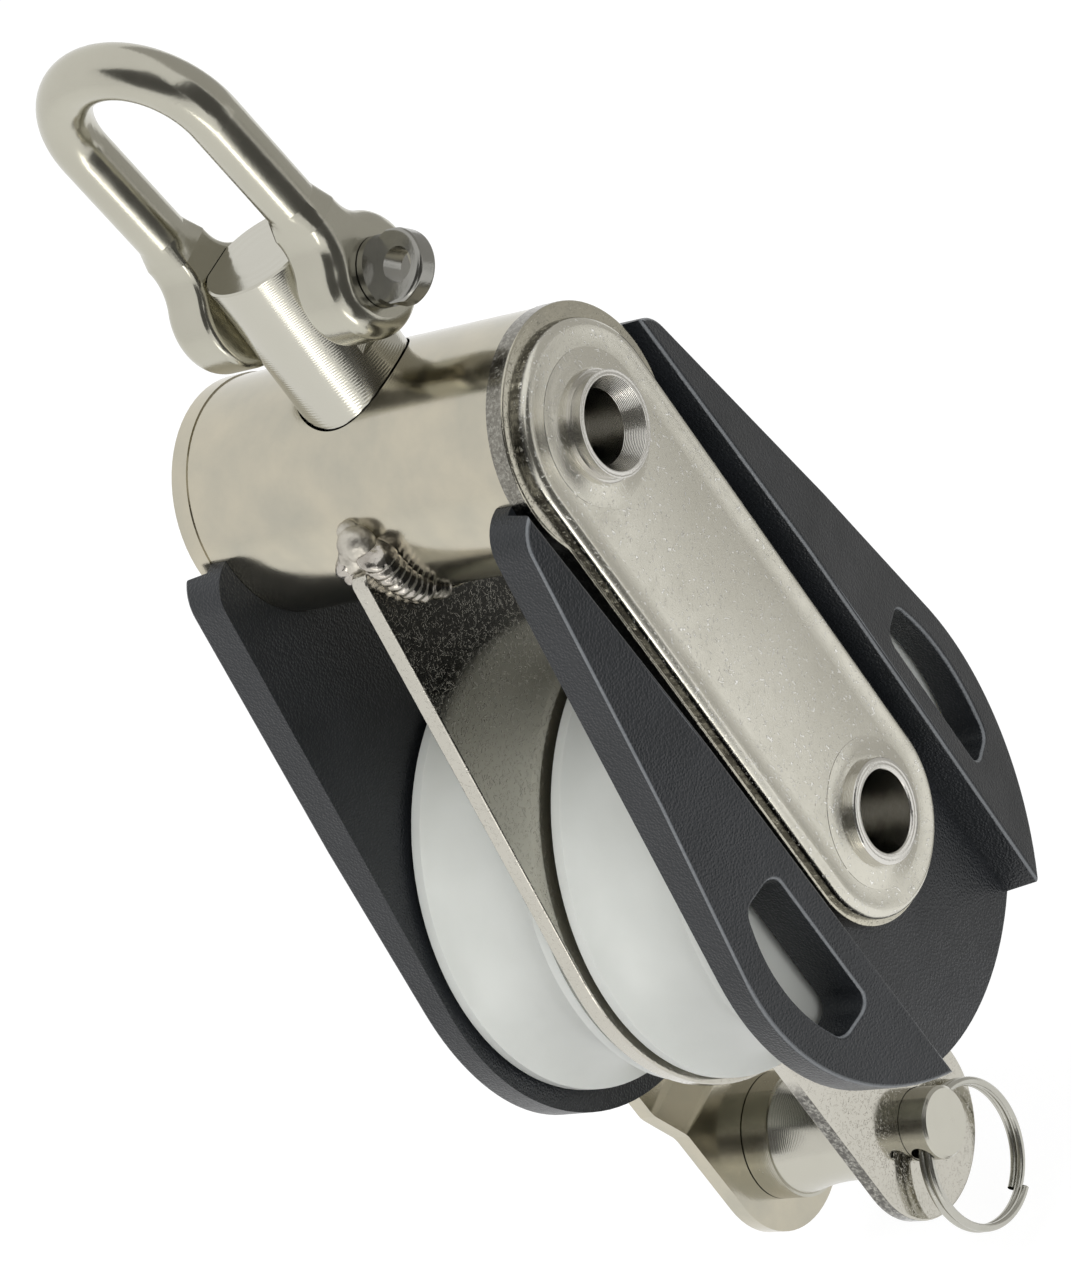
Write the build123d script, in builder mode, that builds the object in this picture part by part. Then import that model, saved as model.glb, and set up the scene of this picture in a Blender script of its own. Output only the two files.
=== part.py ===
from build123d import *
from math import cos, radians, sin, sqrt, tan
import os

# Double block with two sheaves side by side, a swivelling bow shackle on its head
# and a becket under the rear sheave. Origin: centre of the sheave axle.
# +Z points to the shackle, Y is the axle's direction, -Y is the front.

# Sheet metal
plate = 3.0                # side plates and divider
strap_sheet = 2.0          # pressed cover straps
sheet_round = 0.4          # rumbled edge of the plates

# Sheaves
sheave_radius = 37.7
sheave_width = 22.7
groove_depth = 5.2
lip = 1.7                  # flat at the rim beside the groove
web_recess = 1.0           # relief on the sides of a sheave
rim_band = 5.0             # full-width band at the rim
hub_radius = 15.0
bush_wall = 2.4
washer_thickness = 1.0
side_play = 0.15           # between a sheave and its thrust washer

# Tubular rivets
rivet_spacing = 80.0
axle_shank = 7.4           # outer radius of the lower rivet, the sheave axle
axle_bore = 6.3
axle_rim = 8.15
axle_proud = 2.1           # how far its rim stands off the strap
upper_shank = 6.5
upper_bore = 5.6
upper_rim = 7.85
upper_mouth = 6.9          # bore radius at the flared mouth
upper_proud = 3.1
rivet_collar = 8.3         # rolled ring at the foot of the upper rim
rivet_collar_height = 0.9

# Head tube and swivel
tube_radius = 18.4
tube_wall = 2.6
post_radius = 9.4
post_gap = 0.3             # running gap between post and tube
eye_height = 33.8          # shackle pin above the tube's axis
post_top = 8.1             # flat top of the post above the shackle pin
post_chamfer = 0.3
nut_radius = 11.5
nut_thickness = 2.6
spigot_radius = 6.0
nut_gap = 0.6              # nut above the upper rivet
swivel_play = 0.1

# Shackle
wire = 8.0
shackle_width = 17.4       # between the ears
bow_straight = 33.3        # pin axis to the centre of the crown
ear_radius = 9.3
ear_thickness = 8.7
ear_round = 2.8
ear_inner_round = 1.2
neck_length = 12.6         # pin axis to the end of the flattened ear
leg_start = 16.0           # pin axis to where the leg is round wire
neck_round = 7.0
bow_tilt = 6.6             # degrees the bow leans over in the rest pose
pin_radius = 3.95
pin_clearance = 0.15
thread_clearance = 0.05
pin_collar = 5.2
pin_collar_length = 1.0
tab_width = 10.6
tab_thickness = 3.7
tab_length = 7.8
tab_hole = 2.6
tab_hole_place = 3.55
tab_angle = 41.7           # degrees the tab is turned up from horizontal
tab_round = 0.7

# Cheeks
cheek_radius = 39.8
cheek_drop = 2.1           # centre of the round end below the axle
cheek_floor = 3.0
cheek_shoulder = 24.5      # half width at the horns
horn_radius = 6.0
horn_top = 2.7             # horns end above the tube's axis
channel_foot = 18.7
channel_spread = 1.3       # half width gained by the channel up to the horns
channel_draft = 9.0        # degrees the channel's walls lean open
wing_rise = 1.0            # a wing beside the channel stands above the strap
wing_fall = 4.4            # it falls away to the rim
horn_fall = 1.5            # and towards the horns
horn_slope_start = 36.0
wing_round = 0.6           # moulded edges of the wings and slots
slot_inner = 24.4
slot_outer_radius = 34.5
slot_half_length = 14.2
slot_drop = 1.2            # middle of the slots below the axle
slot_corner = 2.4

# Side plates, straps and divider
head_radius = 18.6         # round top of a side plate
plate_half_width = 17.0
neck_fillet = 4.0          # inner corner below the round head
strap_half_width = 16.0
strap_round = 1.1
strap_dish = 0.3
strap_border = 2.4
boss_radius = 10.2
divider_radius = 38.6
divider_shoulder = 23.8
divider_top = 1.0          # top corners below the tube's axis
divider_corner = 2.0
weld_leg = 3.6
weld_start = 2.0           # degrees below the tube's waist
weld_end = 48.0
seat_gap = 0.05            # between seated round faces

# Becket
becket_drop = 68.7         # becket pin below the axle
front_ear = 15.6
rear_ear = 16.0
ear_fillet = 3.0
joggle_start = 44.2        # below the axle
joggle_end = 50.5
joggle = 2.5               # step of the rear plate towards the divider
joggle_round = 4.0
clevis_radius = 5.95
clevis_clearance = 0.1
clevis_proud = 5.2
clevis_head = 8.0
clevis_head_thickness = 3.0
clevis_chamfer = 0.5
ring_hole = 1.9
ring_hole_place = 2.2      # ring hole in front of the ear
spool_flange = 10.6
spool_flange_length = 5.0
spool_barrel = 10.1        # at the step beside the flange
spool_waist = 8.5
spool_front = 9.6
spool_front_length = 1.2
spool_play = 0.15
ring_wire = 1.0
ring_radius = 12.0
ring_turns = 2
ring_pitch = 1.04
ring_turn = 13.0           # degrees the pin's cross hole is turned from level
ring_lift = 5.0            # degrees the ring stands off the ear

# Heights measured outwards from the middle of the divider
divider_face = plate / 2
pocket = 2 * (washer_thickness + side_play) + sheave_width
cheek_inside = divider_face + pocket
plate_inside = cheek_inside + cheek_floor
plate_outside = plate_inside + plate
strap_face = plate_outside + strap_sheet
wing_inner = strap_face + wing_rise
wing_outer = wing_inner - wing_fall
sheave_start = divider_face + washer_thickness + side_play

# Heights along Z
head_z = rivet_spacing
eye_z = head_z + eye_height
becket_z = -becket_drop
nut_bottom = head_z + upper_shank + nut_gap
nut_top = nut_bottom + nut_thickness
tube_bore = tube_radius - tube_wall

front_plane = Plane.XZ
overrun = 1.0              # how far a cutter runs past the face it opens

os.makedirs("parts", exist_ok=True)


def outward(y, side):
    """Sketch plane facing away from the divider, at height y, on the front or the rear."""
    if side == "front":
        return Plane(origin=(0, -y, 0), x_dir=(1, 0, 0), z_dir=(0, -1, 0))
    return Plane(origin=(0, y, 0), x_dir=(-1, 0, 0), z_dir=(0, 1, 0))


# Divider plate with the front becket ear
with BuildPart() as divider_plate:
    with BuildSketch(Plane.XZ):
        with BuildLine():
            CenterArc((0, 0), divider_radius, 0, 360)
            Line((-divider_shoulder, head_z - divider_top), (divider_shoulder, head_z - divider_top))
        make_hull()
        with Locations((0, becket_z / 2)):
            Rectangle(2 * front_ear, becket_drop)
        with Locations((0, becket_z)):
            Circle(front_ear)
    extrude(amount=divider_face, both=True)
    upright = divider_plate.edges().filter_by(Axis.Y)
    fillet(upright.group_by(Axis.Z)[-1], radius=divider_corner)
    ear_root = -sqrt(divider_radius ** 2 - front_ear ** 2)
    roots = divider_plate.edges().filter_by(Axis.Y).filter_by_position(Axis.Z, ear_root - 1, ear_root + 1)
    fillet(roots, radius=ear_fillet)
    with BuildSketch(Plane.XZ):
        with Locations((0, head_z)):
            Circle(tube_radius + seat_gap)
        Circle(axle_shank + seat_gap)
        with Locations((0, becket_z)):
            Circle(clevis_radius + clevis_clearance)
    extrude(amount=plate, both=True, mode=Mode.SUBTRACT)
    rims = divider_plate.faces().filter_by(Axis.Y)
    outer_edges = [face.outer_wire().edges() for face in rims]
    fillet([edge for edges in outer_edges for edge in edges], radius=sheet_round)
divider_plate.part.label = "divider_plate"
export_step(divider_plate.part, "parts/divider_plate.step")

# Head tube: its ends bear on the side plates, and the swivel post passes its top
with BuildPart() as head_tube:
    with BuildSketch(Plane.XZ):
        with Locations((0, head_z)):
            Circle(tube_radius)
            Circle(tube_bore, mode=Mode.SUBTRACT)
    extrude(amount=plate_inside, both=True)
    with BuildSketch(Plane.XY.offset(head_z)):
        Circle(post_radius + post_gap)
    extrude(amount=tube_radius + overrun, mode=Mode.SUBTRACT)
head_tube.part.label = "head_tube"
export_step(head_tube.part, "parts/head_tube.step")

# Fillet welds between the divider and the tube, one on each side of each face
with BuildPart() as weld_beads:
    for face_side in (-1, 1):
        for hand in (-1, 1):
            weld_frame = Plane(
                origin=(0, face_side * divider_face, head_z),
                x_dir=(hand * cos(radians(weld_start)), 0, -sin(radians(weld_start))),
                z_dir=(hand * face_side * sin(radians(weld_start)), 0, face_side * cos(radians(weld_start))),
            )
            y_way = 1 if weld_frame.y_dir.Y * face_side > 0 else -1
            with BuildSketch(weld_frame):
                with BuildLine():
                    Line((tube_radius, 0), (tube_radius + weld_leg, 0))
                    RadiusArc(
                        (tube_radius + weld_leg, 0), (tube_radius, y_way * weld_leg), -y_way * weld_leg
                    )
                    Line((tube_radius, y_way * weld_leg), (tube_radius, 0))
                make_face()
            turn = Axis((0, 0, head_z), (0, hand, 0))
            revolve(axis=turn, revolution_arc=weld_end - weld_start)
weld_beads.part.label = "weld_beads"
export_step(weld_beads.part, "parts/weld_beads.step")


# Front side plate, from the head down to the sheave axle
with BuildPart() as front_side_plate:
    with BuildSketch(outward(plate_inside, "front")) as outline:
        with Locations((0, head_z)):
            Circle(head_radius)
        with Locations((0, head_z / 2)):
            Rectangle(2 * plate_half_width, head_z)
        Circle(plate_half_width)
        fillet(outline.vertices().filter_by_position(Axis.Y, head_z / 2, head_z), radius=neck_fillet)
        with Locations((0, head_z)):
            Circle(upper_shank + seat_gap, mode=Mode.SUBTRACT)
        Circle(axle_shank + seat_gap, mode=Mode.SUBTRACT)
    extrude(amount=plate)
    front_face = front_side_plate.faces().sort_by(Axis.Y)[0]
    fillet(front_face.outer_wire().edges(), radius=sheet_round)
front_side_plate.part.label = "front_side_plate"
export_step(front_side_plate.part, "parts/front_side_plate.step")

# Rear side plate: it runs on below the cheek and steps in to form the rear becket ear
with BuildPart() as rear_side_plate:
    with BuildSketch(Plane.XZ) as outline:
        with Locations((0, head_z)):
            Circle(head_radius)
        with Locations((0, (head_z - joggle_start) / 2)):
            Rectangle(2 * plate_half_width, head_z + joggle_start)
        with BuildLine():
            Polyline(
                (-plate_half_width, -joggle_start),
                (plate_half_width, -joggle_start),
                (rear_ear, -joggle_end),
                (rear_ear, becket_z),
                (-rear_ear, becket_z),
                (-rear_ear, -joggle_end),
                close=True,
            )
        make_face()
        with Locations((0, becket_z)):
            Circle(rear_ear)
        fillet(outline.vertices().filter_by_position(Axis.Y, head_z / 2, head_z), radius=neck_fillet)
        with Locations((0, head_z)):
            Circle(upper_shank + seat_gap, mode=Mode.SUBTRACT)
        Circle(axle_shank + seat_gap, mode=Mode.SUBTRACT)
        with Locations((0, becket_z)):
            Circle(clevis_radius + clevis_clearance, mode=Mode.SUBTRACT)
    extrude(amount=-plate_outside - overrun)
    bend_top = head_z + head_radius + overrun
    bend_bottom = becket_z - rear_ear - overrun
    bend_lean = plate * (joggle / (joggle_end - joggle_start)) / 2
    with BuildSketch(Plane.YZ) as bent_sheet:
        with BuildLine():
            Polyline(
                (plate_inside, bend_top),
                (plate_inside, -joggle_start + bend_lean),
                (plate_inside - joggle, -joggle_end + bend_lean),
                (plate_inside - joggle, bend_bottom),
                (plate_outside - joggle, bend_bottom),
                (plate_outside - joggle, -joggle_end - bend_lean),
                (plate_outside, -joggle_start - bend_lean),
                (plate_outside, bend_top),
                close=True,
            )
        make_face()
        bends = bent_sheet.vertices().filter_by_position(Axis.Y, -joggle_end - plate, -joggle_start + plate)
        fillet(bends, radius=joggle_round)
    extrude(amount=head_radius + overrun, both=True, mode=Mode.INTERSECT)
rear_side_plate.part.label = "rear_side_plate"
export_step(rear_side_plate.part, "parts/rear_side_plate.step")

# Pressed cover straps: dished face, rounded rim, flat lands under the rivet rims
for side in ("front", "rear"):
    with BuildPart() as strap:
        with BuildSketch(outward(plate_outside, side)):
            with Locations((0, head_z / 2)):
                SlotCenterToCenter(rivet_spacing, 2 * strap_half_width, rotation=90)
        extrude(amount=strap_sheet)
        top_face = strap.faces().sort_by(Axis.Y)[0 if side == "front" else -1]
        fillet(top_face.edges(), radius=strap_round)
        with BuildSketch(outward(strap_face - strap_dish, side)):
            with Locations((0, head_z / 2)):
                SlotCenterToCenter(rivet_spacing, 2 * (strap_half_width - strap_border), rotation=90)
            with Locations((0, 0), (0, head_z)):
                Circle(boss_radius, mode=Mode.SUBTRACT)
        extrude(amount=strap_dish + overrun, mode=Mode.SUBTRACT, taper=-45)
        with BuildSketch(outward(plate_outside, side)):
            Circle(axle_shank + seat_gap)
            with Locations((0, head_z)):
                Circle(upper_shank + seat_gap)
        extrude(amount=strap_sheet + overrun, mode=Mode.SUBTRACT)
    strap.part.label = side + "_strap"
    export_step(strap.part, "parts/" + side + "_strap.step")

# Moulded cheeks: floor, two raised wings beside an open channel, horns round the tube
cheek_bottom = -cheek_radius - cheek_drop - overrun
cheek_top = head_z + horn_top
channel_mouth = channel_foot + (wing_inner - plate_inside) * tan(radians(channel_draft))

wing_cuts = (
    (cheek_bottom, horn_slope_start - cheek_bottom, 0),
    (horn_slope_start, cheek_top, horn_fall),
)
for side, way in (("front", -1), ("rear", 1)):
    with BuildPart() as cheek:
        with BuildSketch(outward(cheek_inside, side)):
            with BuildLine():
                CenterArc((0, -cheek_drop), cheek_radius, 0, 360)
                for hand in (-1, 1):
                    horn = (hand * (cheek_shoulder - horn_radius), cheek_top - horn_radius)
                    CenterArc(horn, horn_radius, 0, 360)
            make_hull()
        extrude(amount=wing_inner - cheek_inside)
        # Wing tops fall away to the rim, and above the slope's start also to the horns
        for start, length, fall in wing_cuts:
            with BuildSketch(Plane.XY.offset(start)):
                for hand in (-1, 1):
                    with BuildLine():
                        Polyline(
                            (hand * (channel_mouth - overrun), way * wing_inner),
                            (hand * channel_mouth, way * wing_inner),
                            (hand * (cheek_radius + overrun), way * wing_outer),
                            (hand * (cheek_radius + overrun), way * (wing_inner + wing_fall)),
                            (hand * (channel_mouth - overrun), way * (wing_inner + wing_fall)),
                            close=True,
                        )
                    make_face()
            cut_way = (0, -way * fall, cheek_top - horn_slope_start)
            extrude(amount=length, dir=cut_way, mode=Mode.SUBTRACT)
        # Channel for the side plate and the strap, open at both ends
        with BuildSketch(outward(plate_inside, side)):
            Polygon(
                (-channel_foot, cheek_bottom),
                (channel_foot, cheek_bottom),
                (channel_foot + channel_spread, cheek_top),
                (-channel_foot - channel_spread, cheek_top),
                align=None,
            )
        extrude(amount=wing_inner - plate_inside + overrun, taper=-channel_draft, mode=Mode.SUBTRACT)
        # Seat round the tube, axle hole and the two finger slots
        with BuildSketch(outward(cheek_inside, side)):
            with Locations((0, head_z)):
                Circle(tube_radius + seat_gap)
            Circle(axle_shank + seat_gap)
        extrude(amount=wing_inner, mode=Mode.SUBTRACT)
        with BuildSketch(outward(cheek_inside, side)) as slots:
            with Locations((0, -slot_drop)):
                Circle(slot_outer_radius)
                Rectangle(2 * slot_outer_radius, 2 * slot_half_length, mode=Mode.INTERSECT)
                Rectangle(2 * slot_inner, 2 * slot_outer_radius, mode=Mode.SUBTRACT)
            fillet(slots.vertices(), radius=slot_corner)
        extrude(amount=wing_inner, mode=Mode.SUBTRACT)
        # Round the edges of the wing tops, apart from the crease between their slopes
        wing_tops = cheek.faces().filter_by(GeomType.PLANE).sort_by(Axis.Y)
        wing_tops = wing_tops[-4:] if side == "rear" else wing_tops[:4]
        top_edges = [edge for face in wing_tops for edge in face.edges()]
        single = [edge for edge in top_edges if sum(edge.is_same(other) for other in top_edges) == 1]
        fillet(single, radius=wing_round)
    cheek.part.label = side + "_cheek"
    export_step(cheek.part, "parts/" + side + "_cheek.step")

# Upper tubular rivet: thin flared mouths with a rolled ring at their foot
with BuildPart() as upper_rivet:
    with BuildSketch(Plane.YZ):
        for way in (-1, 1):
            with BuildLine():
                Polyline(
                    (0, head_z + upper_bore),
                    (0, head_z + upper_shank),
                    (way * strap_face, head_z + upper_shank),
                    (way * strap_face, head_z + rivet_collar),
                    (way * (strap_face + rivet_collar_height), head_z + rivet_collar),
                    (way * (strap_face + rivet_collar_height), head_z + upper_rim - sheet_round),
                    (way * (strap_face + upper_proud), head_z + upper_rim),
                    (way * (strap_face + upper_proud), head_z + upper_mouth),
                    (way * strap_face, head_z + upper_bore),
                    close=True,
                )
            make_face()
    revolve(axis=Axis((0, 0, head_z), (0, 1, 0)))
upper_rivet.part.label = "upper_rivet"
export_step(upper_rivet.part, "parts/upper_rivet.step")

# Lower tubular rivet, which is the sheave axle
with BuildPart() as sheave_axle:
    with BuildSketch(Plane.YZ):
        for way in (-1, 1):
            with BuildLine():
                Polyline(
                    (0, axle_bore),
                    (0, axle_shank),
                    (way * strap_face, axle_shank),
                    (way * strap_face, axle_rim),
                    (way * (strap_face + axle_proud), axle_rim),
                    (way * (strap_face + axle_proud), axle_bore),
                    close=True,
                )
            make_face()
    revolve(axis=Axis.Y)
    rim_edges = sheave_axle.edges().filter_by(GeomType.CIRCLE)
    fillet(rim_edges.group_by(Axis.Y)[0] + rim_edges.group_by(Axis.Y)[-1], radius=sheet_round)
sheave_axle.part.label = "sheave_axle"
export_step(sheave_axle.part, "parts/sheave_axle.step")

# Sheaves, their bushes and the thrust washers beside them
bush_radius = axle_shank + seat_gap + bush_wall
for side, way in (("front", -1), ("rear", 1)):
    near = way * sheave_start
    far = way * (sheave_start + sheave_width)
    middle = (near + far) / 2
    with BuildPart() as sheave:
        with BuildSketch(Plane.YZ):
            with BuildLine():
                Polyline(
                    (near, bush_radius + seat_gap),
                    (near, hub_radius),
                    (near + way * web_recess, hub_radius + web_recess),
                    (near + way * web_recess, sheave_radius - rim_band - web_recess),
                    (near, sheave_radius - rim_band),
                    (near, sheave_radius),
                    (near + way * lip, sheave_radius),
                )
                ThreePointArc(
                    (near + way * lip, sheave_radius),
                    (middle, sheave_radius - groove_depth),
                    (far - way * lip, sheave_radius),
                )
                Polyline(
                    (far - way * lip, sheave_radius),
                    (far, sheave_radius),
                    (far, sheave_radius - rim_band),
                    (far - way * web_recess, sheave_radius - rim_band - web_recess),
                    (far - way * web_recess, hub_radius + web_recess),
                    (far, hub_radius),
                    (far, bush_radius + seat_gap),
                    (near, bush_radius + seat_gap),
                )
            make_face()
        revolve(axis=Axis.Y)
    sheave.part.label = side + "_sheave"
    export_step(sheave.part, "parts/" + side + "_sheave.step")

    with BuildPart() as bush:
        with BuildSketch(Plane.XZ.offset(-near)):
            Circle(bush_radius)
            Circle(axle_shank + seat_gap, mode=Mode.SUBTRACT)
        extrude(amount=-way * sheave_width)
    bush.part.label = side + "_bush"
    export_step(bush.part, "parts/" + side + "_bush.step")

    for place, start in (("inner", divider_face), ("outer", cheek_inside - washer_thickness)):
        with BuildPart() as washer:
            with BuildSketch(Plane.XZ.offset(-way * start)):
                Circle(hub_radius)
                Circle(axle_shank + seat_gap, mode=Mode.SUBTRACT)
            extrude(amount=-way * washer_thickness)
        washer.part.label = side + "_" + place + "_washer"
        export_step(washer.part, "parts/" + side + "_" + place + "_washer.step")

# Swivel post: round bar with a flat top, and shallow flats between the shackle ears
with BuildPart() as swivel_post:
    with BuildSketch(Plane.XY.offset(nut_bottom)):
        Circle(spigot_radius)
    extrude(amount=nut_thickness)
    with BuildSketch(Plane.XY.offset(nut_top)):
        Circle(post_radius)
    extrude(amount=eye_z + post_top - nut_top)
    chamfer(swivel_post.edges().sort_by(Axis.Z)[-1], length=post_chamfer)
    flat_half = shackle_width / 2 - pin_clearance
    flat_start = eye_z - ear_radius - overrun
    flat_length = eye_z + post_top + overrun - flat_start
    with BuildSketch(Plane.YZ):
        for way in (-1, 1):
            with Locations((way * (flat_half + post_radius / 2), flat_start + flat_length / 2)):
                Rectangle(post_radius, flat_length)
    extrude(amount=post_radius, both=True, mode=Mode.SUBTRACT)
    with BuildSketch(Plane.XZ):
        with Locations((0, eye_z)):
            Circle(pin_radius + pin_clearance)
    extrude(amount=post_radius, both=True, mode=Mode.SUBTRACT)
swivel_post.part.label = "swivel_post"
export_step(swivel_post.part, "parts/swivel_post.step")

# Round nut on the post's threaded end, inside the head tube
with BuildPart() as swivel_nut:
    with BuildSketch(Plane.XY.offset(nut_bottom)):
        Circle(nut_radius)
        Circle(spigot_radius + seat_gap, mode=Mode.SUBTRACT)
    extrude(amount=nut_thickness)
swivel_nut.part.label = "swivel_nut"
export_step(swivel_nut.part, "parts/swivel_nut.step")

# Saddle washer: flat under the nut, curved to the bore of the tube
with BuildPart() as saddle_washer:
    with BuildSketch(Plane.XY.offset(nut_top + swivel_play)):
        Circle(nut_radius)
        Circle(post_radius + post_gap, mode=Mode.SUBTRACT)
    extrude(amount=tube_bore)
    with BuildSketch(Plane.XZ):
        with Locations((0, head_z)):
            Circle(tube_bore - seat_gap)
    extrude(amount=nut_radius, both=True, mode=Mode.INTERSECT)
saddle_washer.part.label = "saddle_washer"
export_step(saddle_washer.part, "parts/saddle_washer.step")

# Shackle bow, leaning over by the tilt it has at rest
tilt_x = cos(radians(bow_tilt))
tilt_z = sin(radians(bow_tilt))
leg_place = shackle_width / 2 + wire / 2
bow_up = Axis((0, 0, eye_z), (-tilt_z, 0, tilt_x))
bow_plane = Plane(origin=(0, 0, eye_z), x_dir=(0, 1, 0), z_dir=(tilt_x, 0, tilt_z))
ear_plane = Plane(origin=(0, -shackle_width / 2, eye_z), x_dir=(tilt_x, 0, tilt_z), z_dir=(0, -1, 0))
with BuildPart() as shackle_bow:
    # Flattened ear with a concave neck as wide as the wire
    with BuildSketch(ear_plane) as ear:
        Circle(ear_radius)
        with Locations((0, neck_length / 2)):
            Rectangle(wire, neck_length)
        root = sqrt(ear_radius ** 2 - (wire / 2) ** 2)
        fillet(ear.vertices().filter_by_position(Axis.Y, root - sheet_round, root + sheet_round), radius=neck_round)
    extrude(amount=ear_thickness)
    outer_face = shackle_bow.faces().sort_by(Axis.Y)[0]
    fillet(outer_face.edges().sort_by(bow_up)[:-1], radius=ear_round)
    inner_face = shackle_bow.faces().sort_by(Axis.Y)[-1]
    fillet(inner_face.edges().sort_by(bow_up)[:-1], radius=ear_inner_round)
    # The neck passes into round wire
    neck_end = shackle_bow.faces().sort_by(bow_up)[-1]
    leg_plane = Plane(
        origin=(-tilt_z * leg_start, -leg_place, eye_z + tilt_x * leg_start),
        x_dir=(0, 1, 0),
        z_dir=(-tilt_z, 0, tilt_x),
    )
    with BuildSketch(leg_plane) as leg_end:
        Circle(wire / 2)
    loft(sections=[neck_end, leg_end.sketch.faces()[0]])
    mirror(about=Plane.XZ)
    with BuildLine(bow_plane) as bow_line:
        Line((-leg_place, leg_start), (-leg_place, bow_straight))
        ThreePointArc(
            (-leg_place, bow_straight), (0, bow_straight + leg_place), (leg_place, bow_straight)
        )
        Line((leg_place, bow_straight), (leg_place, leg_start))
    with BuildSketch(Plane(origin=bow_line.line @ 0, z_dir=bow_line.line % 0)):
        Circle(wire / 2)
    sweep(path=bow_line.line)
    with BuildSketch(Plane(origin=(0, 0, eye_z), x_dir=(1, 0, 0), z_dir=(0, -1, 0))):
        Circle(pin_radius + pin_clearance)
    extrude(amount=leg_place + wire, mode=Mode.SUBTRACT)
    with BuildSketch(Plane(origin=(0, 0, eye_z), x_dir=(1, 0, 0), z_dir=(0, 1, 0))):
        Circle(pin_radius + thread_clearance)
    extrude(amount=leg_place + wire, mode=Mode.SUBTRACT)
shackle_bow.part.label = "shackle_bow"
export_step(shackle_bow.part, "parts/shackle_bow.step")

# Shackle pin with its flattened, drilled thumb tab
ear_outside = shackle_width / 2 + ear_thickness
collar_end = ear_outside + pin_clearance + pin_collar_length
tab_end = collar_end + tab_length
tab_x = cos(radians(tab_angle))
tab_z = sin(radians(tab_angle))
tab_plane = Plane(origin=(0, 0, eye_z), x_dir=(0, -1, 0), z_dir=(-tab_z, 0, tab_x))
with BuildPart() as shackle_pin:
    with BuildSketch(Plane(origin=(0, 0, eye_z), z_dir=(0, -1, 0), x_dir=(1, 0, 0))):
        Circle(pin_radius)
    extrude(amount=collar_end)
    extrude(to_extrude=shackle_pin.faces().sort_by(Axis.Y)[-1], amount=ear_outside)
    with BuildSketch(
        Plane(origin=(0, -ear_outside - pin_clearance, eye_z), z_dir=(0, -1, 0), x_dir=(1, 0, 0))
    ):
        Circle(pin_collar)
    extrude(amount=pin_collar_length)
    with BuildSketch(tab_plane) as tab:
        with BuildLine():
            Polyline(
                (tab_end - tab_thickness, tab_width / 2),
                (collar_end + tab_thickness / 2, tab_width / 2),
                (collar_end - pin_collar_length / 2, pin_radius),
                (collar_end - pin_collar_length / 2, -pin_radius),
                (collar_end + tab_thickness / 2, -tab_width / 2),
                (tab_end - tab_thickness, -tab_width / 2),
            )
            ThreePointArc(
                (tab_end - tab_thickness, -tab_width / 2),
                (tab_end, 0),
                (tab_end - tab_thickness, tab_width / 2),
            )
        make_face()
        with Locations((collar_end + tab_hole_place, 0)):
            Circle(tab_hole, mode=Mode.SUBTRACT)
    extrude(amount=tab_thickness / 2, both=True)
    tab_tip = shackle_pin.edges().filter_by_position(Axis.Y, -tab_end - overrun, -tab_end + tab_thickness)
    fillet(tab_tip.filter_by(GeomType.CIRCLE), radius=tab_round)
shackle_pin.part.label = "shackle_pin"
export_step(shackle_pin.part, "parts/shackle_pin.step")

# Becket spool between the divider's ear and the rear plate's ear
spool_near = divider_face + spool_play
spool_far = plate_inside - joggle - spool_play
spool_bore = clevis_radius + clevis_clearance
with BuildPart() as becket_spool:
    with BuildSketch(Plane.YZ):
        with BuildLine():
            Polyline(
                (spool_near + spool_front_length, becket_z + spool_front),
                (spool_near, becket_z + spool_front),
                (spool_near, becket_z + spool_bore),
                (spool_far, becket_z + spool_bore),
                (spool_far, becket_z + spool_flange),
                (spool_far - spool_flange_length, becket_z + spool_flange),
                (spool_far - spool_flange_length, becket_z + spool_barrel),
            )
            ThreePointArc(
                (spool_far - spool_flange_length, becket_z + spool_barrel),
                ((spool_near + spool_far) / 2, becket_z + spool_waist),
                (spool_near + spool_front_length, becket_z + spool_front),
            )
        make_face()
    revolve(axis=Axis((0, 0, becket_z), (0, 1, 0)))
becket_spool.part.label = "becket_spool"
export_step(becket_spool.part, "parts/becket_spool.step")

# Clevis pin with its head behind the rear ear and a cross hole in front
clevis_back = plate_outside - joggle
clevis_front = divider_face + clevis_proud
hole_y = -divider_face - ring_hole_place
cross_way = (cos(radians(ring_turn)), 0, sin(radians(ring_turn)))
with BuildPart() as becket_pin:
    with BuildSketch(Plane.YZ):
        with BuildLine():
            Polyline(
                (-clevis_front, becket_z),
                (-clevis_front, becket_z + clevis_radius - clevis_chamfer),
                (-clevis_front + clevis_chamfer, becket_z + clevis_radius),
                (clevis_back, becket_z + clevis_radius),
                (clevis_back, becket_z + clevis_head),
                (clevis_back + clevis_head_thickness, becket_z + clevis_head),
                (clevis_back + clevis_head_thickness, becket_z),
                close=True,
            )
        make_face()
    revolve(axis=Axis((0, 0, becket_z), (0, 1, 0)))
    with BuildSketch(Plane(origin=(0, hole_y, becket_z), x_dir=(0, 1, 0), z_dir=cross_way)):
        Circle(ring_hole)
    extrude(amount=clevis_head, both=True, mode=Mode.SUBTRACT)
becket_pin.part.label = "becket_pin"
export_step(becket_pin.part, "parts/becket_pin.step")

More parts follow.
